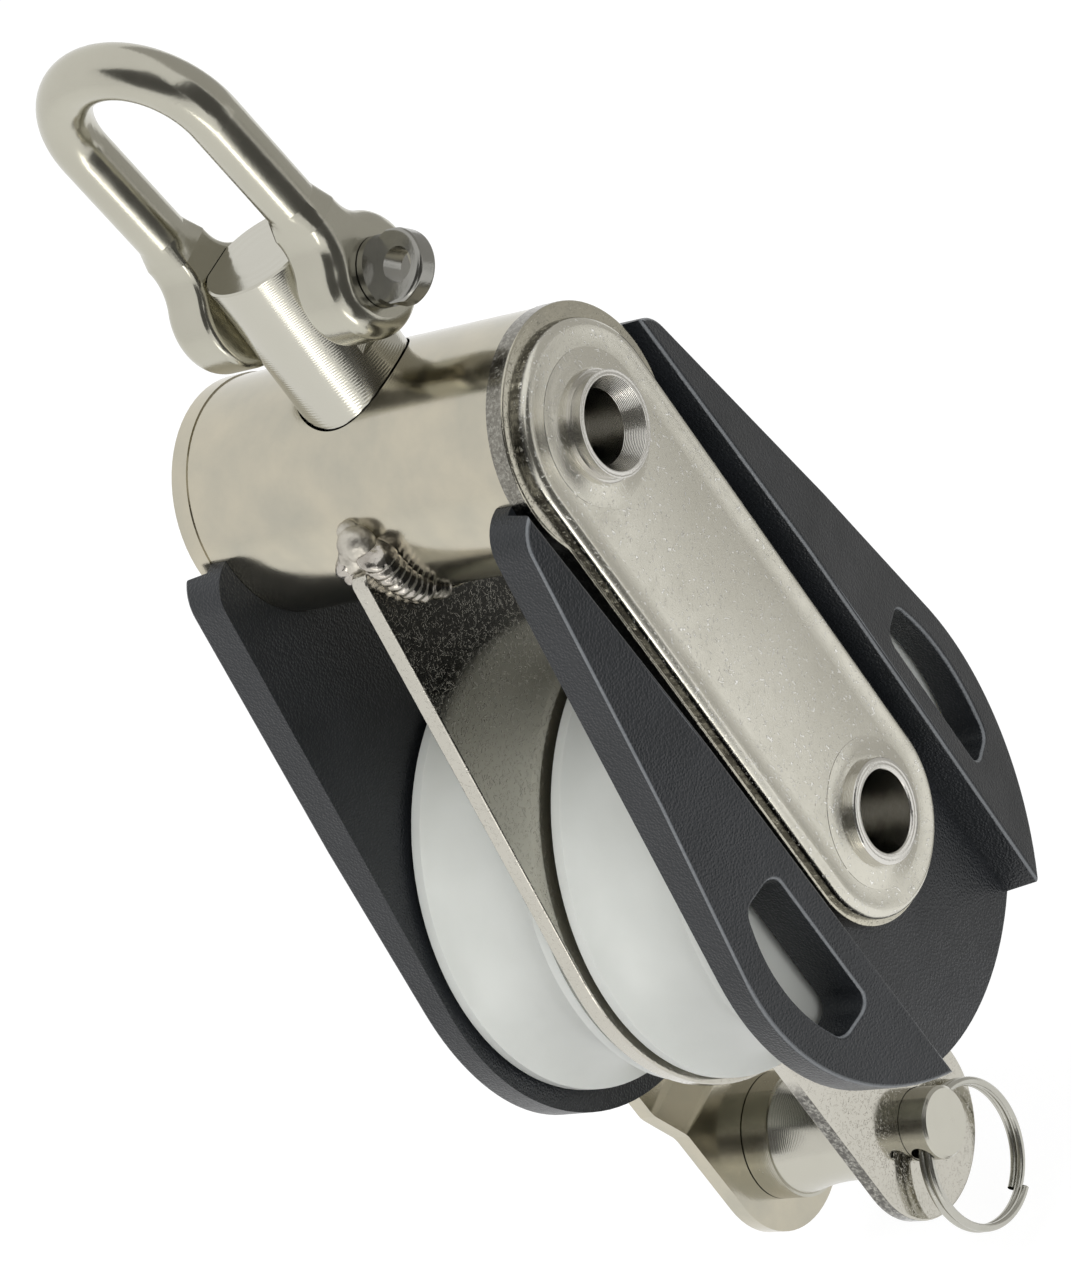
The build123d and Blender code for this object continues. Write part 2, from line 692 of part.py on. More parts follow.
# Split ring: a double-wound wire through the cross hole
sag = ring_radius - sqrt(ring_radius ** 2 - clevis_radius ** 2)
ring_reach = ring_radius - sag / 2
hang = Vector(cross_way[2], 0, -cross_way[0]) * cos(radians(ring_lift)) - Vector(0, sin(radians(ring_lift)), 0)
ring_normal = Vector(cross_way).cross(hang)
ring_centre = Vector(0, hole_y, becket_z) + hang * ring_reach
ring_plane = Plane(
    origin=ring_centre - ring_normal * (ring_pitch * ring_turns / 2),
    x_dir=hang,
    z_dir=ring_normal,
)
with BuildPart() as split_ring:
    coil = ring_plane * Helix(pitch=ring_pitch, height=ring_pitch * ring_turns, radius=ring_radius)
    with BuildSketch(Plane(origin=coil @ 0, z_dir=coil % 0)):
        Circle(ring_wire / 2)
    sweep(path=coil, is_frenet=True)
split_ring.part.label = "split_ring"
export_step(split_ring.part, "parts/split_ring.step")
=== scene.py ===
from math import cos, radians, sin

import bpy
from mathutils import Matrix, Vector


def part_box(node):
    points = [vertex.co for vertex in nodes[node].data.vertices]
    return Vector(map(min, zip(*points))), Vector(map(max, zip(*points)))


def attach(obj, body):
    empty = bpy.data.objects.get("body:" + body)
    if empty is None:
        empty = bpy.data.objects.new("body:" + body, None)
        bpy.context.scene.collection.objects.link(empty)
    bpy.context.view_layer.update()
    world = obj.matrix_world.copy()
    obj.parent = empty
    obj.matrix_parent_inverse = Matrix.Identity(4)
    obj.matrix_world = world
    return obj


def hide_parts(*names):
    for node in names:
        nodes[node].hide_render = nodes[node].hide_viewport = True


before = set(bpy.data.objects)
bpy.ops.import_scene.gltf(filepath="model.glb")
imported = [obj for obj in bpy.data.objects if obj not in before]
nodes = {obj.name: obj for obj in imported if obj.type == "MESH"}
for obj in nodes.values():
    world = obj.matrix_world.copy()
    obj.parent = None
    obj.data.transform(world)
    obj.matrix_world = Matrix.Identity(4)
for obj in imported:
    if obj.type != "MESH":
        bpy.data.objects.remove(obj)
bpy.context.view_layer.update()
print("frame loaded:", len(nodes), "nodes")


# camera
cameraSettings = {
    "place": (-0.42109, -0.44928, 0.38318),
    "right": (0.388559, -0.756987, -0.525350),
    "down": (-0.701516, 0.126627, -0.701314),
    "forward": (0.597409, 0.641043, -0.481836),
    "lens": 131.59,
    "sensor": 36.0,
    "clipStart": 0.01,
}

cameraData = bpy.data.cameras.new("photoCamera")
camera = bpy.data.objects.new("photoCamera", cameraData)
bpy.context.scene.collection.objects.link(camera)
cameraData.sensor_fit = "VERTICAL"
cameraData.sensor_height = cameraSettings["sensor"]
cameraData.lens = cameraSettings["lens"]
cameraData.clip_start = cameraSettings["clipStart"]
cameraAxes = Matrix((
    Vector(cameraSettings["right"]),
    -Vector(cameraSettings["down"]),
    -Vector(cameraSettings["forward"]),
)).transposed()
camera.matrix_world = Matrix.Translation(cameraSettings["place"]) @ cameraAxes.to_4x4()
bpy.context.scene.camera = camera
bpy.context.scene.view_settings.view_transform = "Standard"
print("camera placed")


# materials
def newMaterial(name):
    material = bpy.data.materials.new(name)
    material.use_nodes = True
    return material, material.node_tree, material.node_tree.nodes["Principled BSDF"]


def ownCoordinates(tree, kind):
    return tree.nodes.new("ShaderNodeTexCoord").outputs[kind]


def addNoise(tree, place, scale, detail=3.0, roughness=0.55, distortion=0.0):
    noise = tree.nodes.new("ShaderNodeTexNoise")
    noise.inputs["Scale"].default_value = scale
    noise.inputs["Detail"].default_value = detail
    noise.inputs["Roughness"].default_value = roughness
    noise.inputs["Distortion"].default_value = distortion
    tree.links.new(place, noise.inputs["Vector"])
    return noise.outputs["Fac"]


def addMapping(tree, place, move=(0, 0, 0), scale=(1, 1, 1)):
    mapping = tree.nodes.new("ShaderNodeMapping")
    mapping.inputs["Location"].default_value = move
    mapping.inputs["Scale"].default_value = scale
    tree.links.new(place, mapping.inputs["Vector"])
    return mapping.outputs["Vector"]


def addRamp(tree, value, stops):
    ramp = tree.nodes.new("ShaderNodeValToRGB")
    ramp.color_ramp.elements[0].position = stops[0][0]
    ramp.color_ramp.elements[0].color = stops[0][1]
    ramp.color_ramp.elements[1].position = stops[-1][0]
    ramp.color_ramp.elements[1].color = stops[-1][1]
    for position, color in stops[1:-1]:
        ramp.color_ramp.elements.new(position).color = color
    tree.links.new(value, ramp.inputs["Fac"])
    return ramp.outputs["Color"]


def addRange(tree, value, low, high, start=0.0, end=1.0):
    remap = tree.nodes.new("ShaderNodeMapRange")
    remap.inputs["From Min"].default_value = start
    remap.inputs["From Max"].default_value = end
    remap.inputs["To Min"].default_value = low
    remap.inputs["To Max"].default_value = high
    tree.links.new(value, remap.inputs["Value"])
    return remap.outputs["Result"]


def addBump(tree, height, depth, below=None):
    bump = tree.nodes.new("ShaderNodeBump")
    bump.inputs["Distance"].default_value = depth
    tree.links.new(height, bump.inputs["Height"])
    if below is not None:
        tree.links.new(below, bump.inputs["Normal"])
    return bump.outputs["Normal"]


def addMath(tree, operation, *values):
    node = tree.nodes.new("ShaderNodeMath")
    node.operation = operation
    for socket, value in zip(node.inputs, values):
        if isinstance(value, float):
            socket.default_value = value
        else:
            tree.links.new(value, socket)
    return node.outputs[0]


# 1 on a face that looks to the front or back, 0 on one that looks sideways
def addSlope(tree):
    parts = tree.nodes.new("ShaderNodeSeparateXYZ")
    tree.links.new(ownCoordinates(tree, "Normal"), parts.inputs["Vector"])
    return addMath(tree, "ABSOLUTE", parts.outputs["Y"])


def addMixedColor(tree, share, first, second):
    mix = tree.nodes.new("ShaderNodeMix")
    mix.data_type = "RGBA"
    tree.links.new(share, mix.inputs["Factor"])
    tree.links.new(first, mix.inputs[6])
    if isinstance(second, tuple):
        mix.inputs[7].default_value = second
    else:
        tree.links.new(second, mix.inputs[7])
    return mix.outputs[2]


finishSettings = {
    "noiseRange": (0.3, 0.7),           # most values of a noise lie in here
    "edgeRange": (0.25, 0.5), "edgeFade": 0.004, "nickRange": (0.45, 0.68), "pitFade": 0.05,
    "ringShape": {"Distortion": 1.5, "Detail": 3.0, "Detail Scale": 2.0},
    "roundedEdgeStops": (0.22, 0.40, 0.80, 0.95), "pebbleReach": 0.7,
}


def addClouds(tree, place, settings, detail):
    clouds = addNoise(tree, place, settings["cloudScale"], detail)
    start, end = finishSettings["noiseRange"]
    return addRamp(tree, clouds, [(start, settings["dark"]), (end, settings["light"])])


def addGloss(tree, noise, settings):
    return addRange(tree, noise, settings["smooth"], settings["rough"], *finishSettings["noiseRange"])


def makeSatinSteel(name, settings):
    material, tree, shader = newMaterial(name)
    place = ownCoordinates(tree, "Object")
    shader.inputs["Metallic"].default_value = 1.0
    color = addClouds(tree, place, settings, detail=4)
    if settings.get("edgeDark"):       # faces that look sideways get a darker colour with lighter specks
        edge = addRange(tree, addSlope(tree), 1.0, 0.0, *finishSettings["edgeRange"])
        if settings.get("edgeBelow"):  # only the ears at the foot get the darker side faces
            top = settings["edgeBelow"]
            parts = tree.nodes.new("ShaderNodeSeparateXYZ")
            tree.links.new(place, parts.inputs["Vector"])
            low = addRange(tree, parts.outputs["Z"], 1.0, 0.0, top - finishSettings["edgeFade"], top)
            edge = addMath(tree, "MULTIPLY", edge, low)
        nicks = addNoise(tree, place, settings["nickScale"], detail=3, roughness=0.7)
        start, end = finishSettings["nickRange"]
        edgeColor = addRamp(tree, nicks, [(start, settings["edgeDark"]), (end, settings["edgeLight"])])
        color = addMixedColor(tree, edge, color, edgeColor)
    smeared = addMapping(tree, place, scale=settings["smear"])
    smear = addNoise(tree, smeared, settings["smearScale"], detail=5)
    tree.links.new(addGloss(tree, smear, settings), shader.inputs["Roughness"])
    grain = addNoise(tree, place, settings["grainScale"], detail=3)
    normal = addBump(tree, grain, settings["grainDepth"])
    if settings.get("pitScale"):       # short worm-like marks left by tumbling
        stretched = addMapping(tree, place, scale=settings["pitStretch"])
        pits = addNoise(tree, stretched, settings["pitScale"], detail=2, roughness=0.5, distortion=1.2)
        start = settings["pitEdge"]
        hollow = addRange(tree, pits, 0.0, 1.0, start, start + finishSettings["pitFade"])
        normal = addBump(tree, hollow, settings["pitDepth"], below=normal)
        if settings.get("pitLight"):   # a mark catches the light: its lighter colour is a painted glint
            color = addMixedColor(tree, hollow, color, settings["pitLight"])
    tree.links.new(color, shader.inputs["Base Color"])
    tree.links.new(normal, shader.inputs["Normal"])
    return material


def makeTurnedSteel(name, settings, centre):
    material, tree, shader = newMaterial(name)
    place = ownCoordinates(tree, "Object")
    shader.inputs["Metallic"].default_value = 1.0
    shader.inputs["Base Color"].default_value = settings["color"]
    centred = addMapping(tree, place, move=[-value for value in centre])
    rings = tree.nodes.new("ShaderNodeTexWave")
    rings.wave_type = "RINGS"
    rings.rings_direction = "SPHERICAL"
    rings.inputs["Scale"].default_value = settings["ringScale"]
    for socket, value in finishSettings["ringShape"].items():
        rings.inputs[socket].default_value = value
    tree.links.new(centred, rings.inputs["Vector"])
    smear = addNoise(tree, place, settings["smearScale"], detail=4)
    tree.links.new(addGloss(tree, smear, settings), shader.inputs["Roughness"])
    normal = addBump(tree, rings.outputs["Fac"], settings["ringDepth"])
    grain = addNoise(tree, place, settings["grainScale"], detail=2)
    normal = addBump(tree, grain, settings["grainDepth"], below=normal)
    tree.links.new(normal, shader.inputs["Normal"])
    return material


def makePlastic(name, settings):
    material, tree, shader = newMaterial(name)
    place = ownCoordinates(tree, "Object")
    color = addClouds(tree, place, settings, detail=3)
    wipe = addNoise(tree, place, settings["wipeScale"], detail=4)
    gloss = addGloss(tree, wipe, settings)
    if settings.get("paintedEdgeHighlight"):         # handling polishes the rounded edges; their lighter colour is a painted highlight
        black, white = (0, 0, 0, 1), (1, 1, 1, 1)
        stops = zip(finishSettings["roundedEdgeStops"], (black, white, white, black))
        band = addRamp(tree, addSlope(tree), list(stops))
        # a painted highlight: the rounded edges get a lighter colour
        color = addMixedColor(tree, band, color, settings["paintedEdgeHighlight"])
        gloss = addMath(tree, "MULTIPLY_ADD", band, -settings["rubbedShine"], gloss)
    tree.links.new(color, shader.inputs["Base Color"])
    tree.links.new(gloss, shader.inputs["Roughness"])
    grain = addNoise(tree, place, settings["grainScale"], detail=2)
    normal = addBump(tree, grain, settings["grainDepth"])
    if settings.get("pebbleScale"):    # spark-eroded mould grain
        pebbles = tree.nodes.new("ShaderNodeTexVoronoi")
        pebbles.inputs["Scale"].default_value = settings["pebbleScale"]
        tree.links.new(place, pebbles.inputs["Vector"])
        height = addRange(tree, pebbles.outputs["Distance"], 1.0, 0.0, end=finishSettings["pebbleReach"])
        normal = addBump(tree, height, settings["pebbleDepth"], below=normal)
    tree.links.new(normal, shader.inputs["Normal"])
    shader.inputs["Specular IOR Level"].default_value = settings.get("specular", 0.5)
    if settings.get("glow"):
        shader.inputs["Subsurface Weight"].default_value = settings["glow"]
        shader.inputs["Subsurface Radius"].default_value = settings["glowRadius"]
        shader.inputs["Subsurface Scale"].default_value = settings["glowScale"]
    return material


satinSteelSettings = {
    "light": (0.54, 0.50, 0.40, 1), "dark": (0.455, 0.435, 0.36, 1), "cloudScale": 110,
    "smear": (1, 1, 1), "smearScale": 180, "smooth": 0.12, "rough": 0.19,
    "grainScale": 2600, "grainDepth": 0.000008,
}
strapSteelSettings = {
    "light": (0.69, 0.67, 0.59, 1), "dark": (0.62, 0.60, 0.52, 1), "cloudScale": 50,
    "smear": (1, 1, 1), "smearScale": 300, "smooth": 0.2, "rough": 0.28,
    "grainScale": 4200, "grainDepth": 0.000009, "pitLight": (0.90, 0.89, 0.84, 1),
    "pitScale": 1700, "pitStretch": (1, 1, 0.7), "pitEdge": 0.62, "pitDepth": 0.000030,
    "edgeDark": (0.13, 0.125, 0.11, 1), "edgeLight": (0.42, 0.41, 0.37, 1), "nickScale": 900,
}
plateSteelSettings = {
    "light": (0.56, 0.53, 0.43, 1), "dark": (0.46, 0.44, 0.37, 1), "cloudScale": 90,
    "smear": (1, 1, 1), "smearScale": 180, "smooth": 0.13, "rough": 0.21,
    "grainScale": 2600, "grainDepth": 0.000012,
    "pitScale": 1200, "pitStretch": (1, 1, 1), "pitEdge": 0.57, "pitDepth": 0.000026,
    "edgeDark": (0.20, 0.19, 0.165, 1), "edgeLight": (0.36, 0.35, 0.31, 1), "nickScale": 1900,
}
forgedSteelSettings = {
    "light": (0.500, 0.485, 0.410, 1), "dark": (0.460, 0.445, 0.375, 1), "cloudScale": 70,
    "smear": (1, 1, 1), "smearScale": 220, "smooth": 0.16, "rough": 0.24,
    "grainScale": 1500, "grainDepth": 0.000014,
}
polishedSteelSettings = {
    "light": (0.560, 0.540, 0.480, 1), "dark": (0.500, 0.480, 0.420, 1), "cloudScale": 40,
    "smear": (1, 1, 0.25), "smearScale": 260, "smooth": 0.08, "rough": 0.15,
    "grainScale": 1500, "grainDepth": 0.000006,
    "pitScale": 1300, "pitStretch": (1, 1, 1), "pitEdge": 0.56, "pitDepth": 0.000020,
    "edgeDark": (0.11, 0.105, 0.095, 1), "edgeLight": (0.40, 0.39, 0.35, 1), "nickScale": 1500,
    "edgeBelow": -0.040,
}
weldSteelSettings = {
    "light": (0.55, 0.52, 0.47, 1), "dark": (0.36, 0.33, 0.29, 1), "cloudScale": 400,
    "smear": (1, 1, 1), "smearScale": 500, "smooth": 0.15, "rough": 0.32,
    "grainScale": 1800, "grainDepth": 0.00004,
}
wireSteelSettings = {
    "light": (0.520, 0.510, 0.460, 1), "dark": (0.460, 0.450, 0.400, 1), "cloudScale": 200,
    "smear": (1, 1, 1), "smearScale": 400, "smooth": 0.18, "rough": 0.28,
    "grainScale": 3000, "grainDepth": 0.000008,
}
shacklePinSteelSettings = dict(
    forgedSteelSettings, light=(0.36, 0.355, 0.325, 1), dark=(0.27, 0.265, 0.245, 1), grainDepth=0.00002)
weldLumpSteelSettings = dict(
    weldSteelSettings, light=(0.62, 0.59, 0.52, 1), dark=(0.50, 0.47, 0.41, 1), smooth=0.36, rough=0.52)
turnedSteelSettings = {
    "color": (0.52, 0.505, 0.44, 1), "ringScale": 900, "ringDepth": 0.00001,
    "smearScale": 300, "smooth": 0.16, "rough": 0.26, "grainScale": 3500, "grainDepth": 0.000006,
}
rivetSteelSettings = dict(
    turnedSteelSettings, color=(0.66, 0.645, 0.60, 1), ringScale=1300, ringDepth=0.00002,
    smooth=0.12, rough=0.22)
postSteelSettings = dict(turnedSteelSettings, smooth=0.12, rough=0.20)
becketSteelSettings = dict(
    turnedSteelSettings, ringScale=1500, ringDepth=0.000005, smooth=0.18, rough=0.28)
satinSteel = makeSatinSteel("satinSteel", satinSteelSettings)
strapSteel = makeSatinSteel("strapSteel", strapSteelSettings)
plateSteel = makeSatinSteel("plateSteel", plateSteelSettings)
forgedSteel = makeSatinSteel("forgedSteel", forgedSteelSettings)
shacklePinSteel = makeSatinSteel("shacklePinSteel", shacklePinSteelSettings)
polishedSteel = makeSatinSteel("polishedSteel", polishedSteelSettings)
weldSteel = makeSatinSteel("weldSteel", weldSteelSettings)
weldLumpSteel = makeSatinSteel("weldLumpSteel", weldLumpSteelSettings)
wireSteel = makeSatinSteel("wireSteel", wireSteelSettings)
upperRivetSteel = makeTurnedSteel("upperRivetSteel", rivetSteelSettings, (0, -0.02, 0.08))
axleSteel = makeTurnedSteel("axleSteel", rivetSteelSettings, (0, -0.02, 0))
postSteel = makeTurnedSteel("postSteel", postSteelSettings, (0, 0, 0.09))
becketSteel = makeTurnedSteel("becketSteel", becketSteelSettings, (0, 0.03, -0.0687))

blackPlasticSettings = {
    "light": (0.019, 0.021, 0.024, 1), "dark": (0.013, 0.015, 0.017, 1), "cloudScale": 90,
    "wipeScale": 160, "smooth": 0.30, "rough": 0.40, "specular": 0.44,
    "grainScale": 5200, "grainDepth": 0.00003,
    # the rounded edges carry a painted highlight colour
    "pebbleScale": 2300, "pebbleDepth": 0.00007, "paintedEdgeHighlight": (0.17, 0.18, 0.19, 1), "rubbedShine": 0.16,
}
whitePlasticSettings = {
    "light": (0.695, 0.710, 0.675, 1), "dark": (0.645, 0.660, 0.625, 1), "cloudScale": 60,
    "wipeScale": 120, "smooth": 0.30, "rough": 0.38, "grainScale": 900, "grainDepth": 0.000015,
    "glow": 0.25, "glowRadius": (1.0, 0.95, 0.9), "glowScale": 0.002,
}
blackPlastic = makePlastic("blackPlastic", blackPlasticSettings)
whitePlastic = makePlastic("whitePlastic", whitePlasticSettings)
bearingPlastic = makePlastic("bearingPlastic", dict(whitePlasticSettings, glow=0, wipeScale=200))


def setFinish(piece, finish):
    piece.data.materials.clear()
    piece.data.materials.append(finish)


nodeFinishes = {
    "shackle_bow": forgedSteel, "shackle_pin": shacklePinSteel,
    "swivel_post": postSteel, "swivel_nut": postSteel, "saddle_washer": postSteel,
    "head_tube": satinSteel, "front_side_plate": plateSteel, "rear_side_plate": satinSteel,
    "front_strap": strapSteel, "rear_strap": strapSteel,
    "upper_rivet": upperRivetSteel, "sheave_axle": axleSteel,
    "front_bush": axleSteel, "rear_bush": axleSteel,
    "divider_plate": polishedSteel, "weld_beads": weldSteel,
    "front_cheek": blackPlastic, "rear_cheek": blackPlastic,
    "front_sheave": whitePlastic, "rear_sheave": whitePlastic,
    "front_inner_washer": bearingPlastic, "front_outer_washer": bearingPlastic,
    "rear_inner_washer": bearingPlastic, "rear_outer_washer": bearingPlastic,
    "becket_spool": becketSteel, "becket_pin": becketSteel, "split_ring": wireSteel,
}
for nodeName, finish in nodeFinishes.items():
    setFinish(nodes[nodeName], finish)
print("finishes given to the nodes")


# steps of modelling that the new pieces share
def selectOnly(piece):
    bpy.ops.object.select_all(action="DESELECT")
    piece.select_set(True)
    bpy.context.view_layer.objects.active = piece


def applyModifier(piece, kind, **changes):
    modifier = piece.modifiers.new("shape", kind)
    for key, value in changes.items():
        setattr(modifier, key, value)
    selectOnly(piece)
    bpy.ops.object.modifier_apply(modifier="shape")


def mendNormals(mergeDistance=None):
    bpy.ops.object.mode_set(mode="EDIT")
    bpy.ops.mesh.select_all(action="SELECT")
    if mergeDistance is not None:
        bpy.ops.mesh.remove_doubles(threshold=mergeDistance)
    bpy.ops.mesh.normals_make_consistent(inside=False)
    bpy.ops.object.mode_set(mode="OBJECT")


def copyMirrored(source, name, axis):
    copy = bpy.data.objects.new(name, source.data.copy())
    bpy.context.scene.collection.objects.link(copy)
    copy.scale[axis] = -1
    selectOnly(copy)
    bpy.ops.object.transform_apply(location=False, rotation=False, scale=True)
    mendNormals()
    return copy


# weld between the divider and the tube: a lump on each corner of the divider, then ripples down both faces
weldSettings = {
    "tubeRadius": 0.0184, "tubeHeight": 0.08, "faceY": 0.0015,
    "ripples": 8, "startAngle": 0.0, "endAngle": 32.0,       # degrees below the tube's waist
    "rippleSize": (0.0037, 0.0030, 0.0018), "rippleRise": 0.0011, "rippleStand": 0.0010,
    "rippleLean": 34.0, "taper": 0.35,
    "tail": 5, "tailEnd": 47.0, "tailSize": (0.0016, 0.0014, 0.0019), "tailRise": 0.0003,
    "lumps": (     # place by angle, radius and y, then size
        (-6.5, 0.0198, -0.0004, (0.0026, 0.0031, 0.0030)), (-1.0, 0.0203, 0.0012, (0.0024, 0.0023, 0.0026)),
        (4.0, 0.0200, -0.0012, (0.0022, 0.0016, 0.0024)), (-12.0, 0.0189, 0.0006, (0.0016, 0.0020, 0.0017)),
    ),
    "voxel": 0.0002, "roughening": 0.0003, "lumpSize": 0.0016,
}


def addLump(name, angle, radius, y, size, lean):
    tilt = radians(angle)
    place = (-radius * cos(tilt), y, weldSettings["tubeHeight"] - radius * sin(tilt))
    bpy.ops.object.select_all(action="DESELECT")
    bpy.ops.mesh.primitive_uv_sphere_add(segments=24, ring_count=14, radius=1, location=place,
                                         rotation=(lean, -tilt, 0), scale=size)
    lump = bpy.context.object
    lump.name = name
    bpy.ops.object.transform_apply(location=True, rotation=True, scale=True)
    return lump


def joinWeld(lumps, name):
    selectOnly(lumps[0])
    for lump in lumps[1:]:
        lump.select_set(True)
    bpy.ops.object.join()
    weld = bpy.context.object
    weld.name = name
    applyModifier(weld, "REMESH", mode="VOXEL", voxel_size=weldSettings["voxel"])
    clouds = bpy.data.textures.new(name + "Clouds", "CLOUDS")
    clouds.noise_scale = weldSettings["lumpSize"]
    applyModifier(weld, "DISPLACE", texture=clouds, texture_coords="LOCAL", mid_level=0.5,
                  strength=weldSettings["roughening"])
    bpy.ops.object.shade_smooth()
    return weld


def addRipple(name, angle, rise, stand, size):
    radius = weldSettings["tubeRadius"] + rise
    y = -weldSettings["faceY"] - stand
    return addLump(name, angle, radius, y, size, radians(weldSettings["rippleLean"]))


startAngle, endAngle = weldSettings["startAngle"], weldSettings["endAngle"]
across, along, thick = weldSettings["rippleSize"]
ripples = []
for step in range(weldSettings["ripples"]):        # they get smaller on the way down
    share = step / (weldSettings["ripples"] - 1)
    small = 1 - weldSettings["taper"] * share
    angle = startAngle + (endAngle - startAngle) * share
    ripples.append(addRipple("ripple", angle, weldSettings["rippleRise"] * small,
                             weldSettings["rippleStand"] * small, (across * small, along * small, thick)))
for step in range(weldSettings["tail"]):           # a thin bead runs on below them
    share = (step + 1) / weldSettings["tail"]
    angle = endAngle + (weldSettings["tailEnd"] - endAngle) * share
    ripples.append(addRipple("tail", angle, weldSettings["tailRise"], weldSettings["tailRise"],
                             weldSettings["tailSize"]))
frontBead = joinWeld(ripples, "weldBeadFrontLeft")
lumps = [addLump("lump", *lump, 0) for lump in weldSettings["lumps"]]
cornerLump = joinWeld(lumps, "weldLumpLeft")
rearBead = copyMirrored(frontBead, "weldBeadRearLeft", 1)
weldPieces = [
    frontBead, cornerLump, rearBead,
    copyMirrored(frontBead, "weldBeadFrontRight", 0),
    copyMirrored(rearBead, "weldBeadRearRight", 0),
    copyMirrored(cornerLump, "weldLumpRight", 0),
]
for piece in weldPieces:
    setFinish(piece, weldLumpSteel if "Lump" in piece.name else weldSteel)
    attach(piece, "block_frame")
    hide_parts("weld_beads")
print("weld modelled:", len(weldPieces), "pieces")


# pressed cover straps: rolled outer edge, a soft fold inside it, a flat field and a land round each rivet
strapSettings = {
    "segments": 128, "waist": 0.00001, "rollWidth": 0.0014, "rollSegments": 6,
    "foldWidth": 0.0030, "foldDepth": 0.00030, "fieldEdge": 0.0003,
    "foldSteps": ((0.24, 0.42), (0.26, 0.30), (0.26, 0.19), (0.24, 0.09)),      # shares of width and depth
    "lowerHole": 0.0070, "upperHole": 0.0062, "holeSegments": 64, "cutterLength": 0.02,
    "facing": 0.99, "smoothAngle": 50,
}
landSettings = {
    "segments": 96, "footRadius": 0.0116, "topRadius": 0.0088, "thickness": 0.0008, "sink": 0.00035,
    "rise": 0.0005, "edge": 0.0003, "lowerHole": 0.0072, "upperHole": 0.0064,
    "steps": ((0.35, 0.12), (0.35, 0.46), (0.30, 0.42)),        # a hollow curve up to the rivet
}


def addDisc(name, segments, radius, thickness, place):
    bpy.ops.object.select_all(action="DESELECT")
    bpy.ops.mesh.primitive_cylinder_add(vertices=segments, radius=radius, depth=thickness, location=place,
                                        rotation=(radians(90), 0, 0))
    disc = bpy.context.object
    disc.name = name
    return disc


def cutHole(piece, radius, y, height):
    cutter = addDisc("cutter", strapSettings["holeSegments"], radius, strapSettings["cutterLength"],
                     (0, y, height))
    applyModifier(piece, "BOOLEAN", object=cutter, operation="DIFFERENCE")
    bpy.data.objects.remove(cutter)


def pickFrontFace(piece):
    bpy.ops.mesh.select_all(action="DESELECT")
    bpy.ops.object.mode_set(mode="OBJECT")
    facing = [face for face in piece.data.polygons if -face.normal.y > strapSettings["facing"]]
    max(facing, key=lambda face: face.area).select = True
    bpy.ops.object.mode_set(mode="EDIT")


strapLow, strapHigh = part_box("front_strap")
strapRadius = (strapHigh[0] - strapLow[0]) / 2
upperHeight = strapHigh[2] - strapRadius


def makeStrap(name):
    middleY = (strapLow[1] + strapHigh[1]) / 2
    strap = addDisc(name, strapSettings["segments"], strapRadius, strapHigh[1] - strapLow[1],
                    (0, middleY, 0))
    bpy.ops.object.transform_apply(location=True, rotation=True, scale=True)
    bpy.ops.object.mode_set(mode="EDIT")
    bpy.ops.mesh.select_all(action="DESELECT")
    bpy.ops.object.mode_set(mode="OBJECT")
    for corner in strap.data.vertices:      # the disc's upper half goes up to the upper rivet
        corner.select = corner.co.z > strapSettings["waist"]
    bpy.ops.object.mode_set(mode="EDIT")
    bpy.ops.transform.translate(value=(0, 0, upperHeight))
    pickFrontFace(strap)
    bpy.ops.mesh.bevel(offset=strapSettings["rollWidth"], segments=strapSettings["rollSegments"],
                       affect="EDGES")
    pickFrontFace(strap)
    for widthShare, depthShare in strapSettings["foldSteps"]:
        bpy.ops.mesh.inset(thickness=strapSettings["foldWidth"] * widthShare,
                           depth=-strapSettings["foldDepth"] * depthShare)
    bpy.ops.mesh.inset(thickness=strapSettings["fieldEdge"], depth=0)
    bpy.ops.object.mode_set(mode="OBJECT")
    cutHole(strap, strapSettings["lowerHole"], middleY, 0)
    cutHole(strap, strapSettings["upperHole"], middleY, upperHeight)
    return strap


def makeLand(name, height, hole):
    fieldY = strapLow[1] + strapSettings["foldDepth"]
    land = addDisc(name, landSettings["segments"], landSettings["footRadius"], landSettings["thickness"],
                   (0, fieldY + landSettings["sink"], height))
    bpy.ops.object.transform_apply(location=True, rotation=True, scale=True)
    bpy.ops.object.mode_set(mode="EDIT")
    pickFrontFace(land)
    run = landSettings["footRadius"] - landSettings["topRadius"]
    for widthShare, riseShare in landSettings["steps"]:
        bpy.ops.mesh.inset(thickness=run * widthShare, depth=landSettings["rise"] * riseShare)
    bpy.ops.mesh.inset(thickness=landSettings["edge"], depth=0)
    bpy.ops.object.mode_set(mode="OBJECT")
    cutHole(land, hole, fieldY, height)
    return land


strapPieces = [
    makeStrap("coverStrapFront"),
    makeLand("strapLandLowerFront", 0, landSettings["lowerHole"]),
    makeLand("strapLandUpperFront", upperHeight, landSettings["upperHole"]),
]
strapPieces += [copyMirrored(piece, piece.name.replace("Front", "Rear"), 1) for piece in strapPieces]
for piece in strapPieces:
    selectOnly(piece)
    bpy.ops.object.shade_smooth_by_angle(angle=radians(strapSettings["smoothAngle"]))
    applyModifier(piece, "WEIGHTED_NORMAL", keep_sharp=True, weight=100)
    setFinish(piece, strapSteel)
    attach(piece, "block_frame")
    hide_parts("front_strap" if piece.name.endswith("Front") else "rear_strap")
print("straps modelled")


